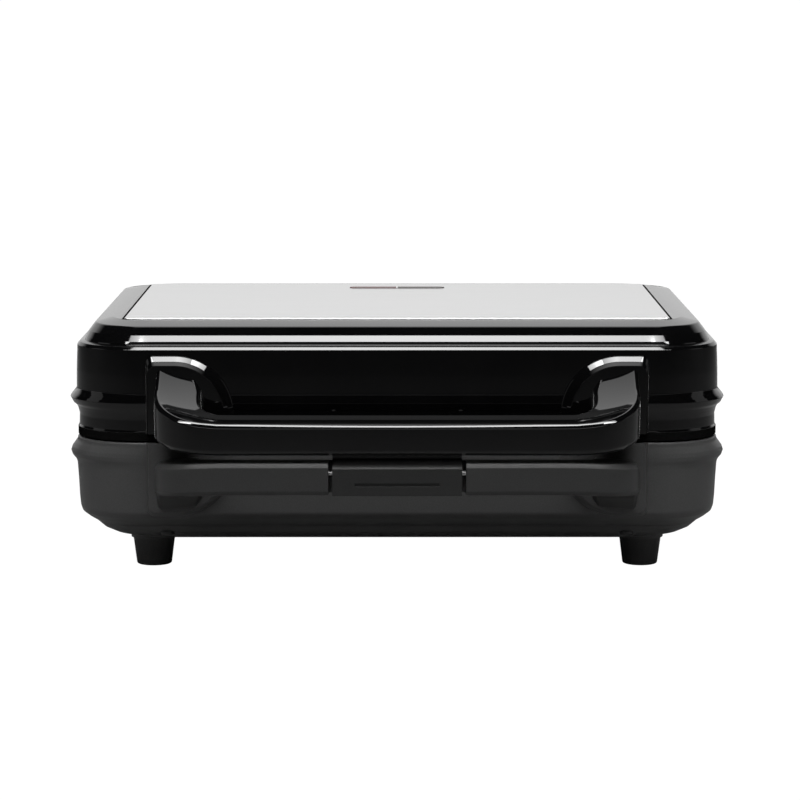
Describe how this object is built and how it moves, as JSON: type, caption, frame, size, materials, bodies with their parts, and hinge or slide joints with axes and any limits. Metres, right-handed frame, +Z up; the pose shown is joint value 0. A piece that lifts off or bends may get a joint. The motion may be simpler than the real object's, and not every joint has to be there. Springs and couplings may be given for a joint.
{
  "type": "sandwich maker",
  "caption": "Countertop sandwich maker with a hinged gloss lid, steel top panel, U-shaped handles and a sprung front latch over cast plates.",
  "frame": {"origin": "middle of the whole appliance's footprint, on the table under the feet", "axes": "+X to the right seen from the front, +Y towards the hinge at the back, +Z up"},
  "size_m": [0.258, 0.236, 0.0994],
  "materials": {
    "charcoal_plastic": "satin moulded",
    "gloss_black_plastic": "high gloss",
    "black_plastic": "matt heat-resistant",
    "latch_plastic": "satin",
    "cast_plate": "non-stick coated casting",
    "element_steel": "oxidised tube",
    "sheet_steel": "plain sheet",
    "screw_steel": "zinc plated",
    "screw_black": "black oxide",
    "control_grey": "plain",
    "white_plastic": "plain",
    "rubber_black": "matt",
    "panel_steel": "fine brushed",
    "red_lens": "clear tinted",
    "dark_lens": "clear tinted",
    "lamp_glass": "clear"
  },
  "bodies": {
    "base": {"base_shell": "charcoal_plastic", "lower_handle": "charcoal_plastic", "bottom_cover": "charcoal_plastic", "lower_plate": "cast_plate", "lower_element": "element_steel", "lower_element_saddles": "sheet_steel", "lower_reflector": "sheet_steel", "lower_plate_screws": "screw_steel", "thermostat": "control_grey", "thermal_fuse": "control_grey", "terminal_block": "white_plastic", "cord_gland": "rubber_black", "housing_screws": "screw_black", "base_handle_screws": "screw_steel", "latch_pin": "screw_steel", "latch_spring": "screw_steel", "hinge_pin_left": "screw_steel", "hinge_pin_right": "screw_steel", "wire_conduit": "control_grey", "foot_front_left": "rubber_black", "foot_front_right": "rubber_black", "foot_rear_left": "rubber_black", "foot_rear_right": "rubber_black"},
    "lid": {"lid_shell": "gloss_black_plastic", "upper_handle": "gloss_black_plastic", "lid_frame": "black_plastic", "top_panel": "panel_steel", "lens_power": "red_lens", "lens_ready": "dark_lens", "lamp_holder": "white_plastic", "lamp_power": "lamp_glass", "lamp_ready": "lamp_glass", "upper_plate": "cast_plate", "upper_element": "element_steel", "upper_element_saddles": "sheet_steel", "upper_reflector": "sheet_steel", "upper_plate_screws": "screw_steel", "upper_thermal_fuse": "control_grey", "lid_screws": "screw_steel", "lid_handle_screws": "screw_steel"},
    "latch": {"latch": "latch_plastic"}
  },
  "joints": [
    {"name": "lid_hinge", "type": "hinge", "parent": "base", "child": "lid", "pos_m": [0, 0.1125, 0.05505], "axis": [-1, 0, 0], "range_deg": [0, 100]},
    {"name": "latch_pivot", "type": "hinge", "parent": "base", "child": "latch", "pos_m": [0, -0.11335, 0.04604], "axis": [1, 0, 0], "range_deg": [0, 12], "stiffness_Nm_per_rad": 0.15, "springref_deg": -5.73, "deforming": ["latch_spring"]}
  ]
}
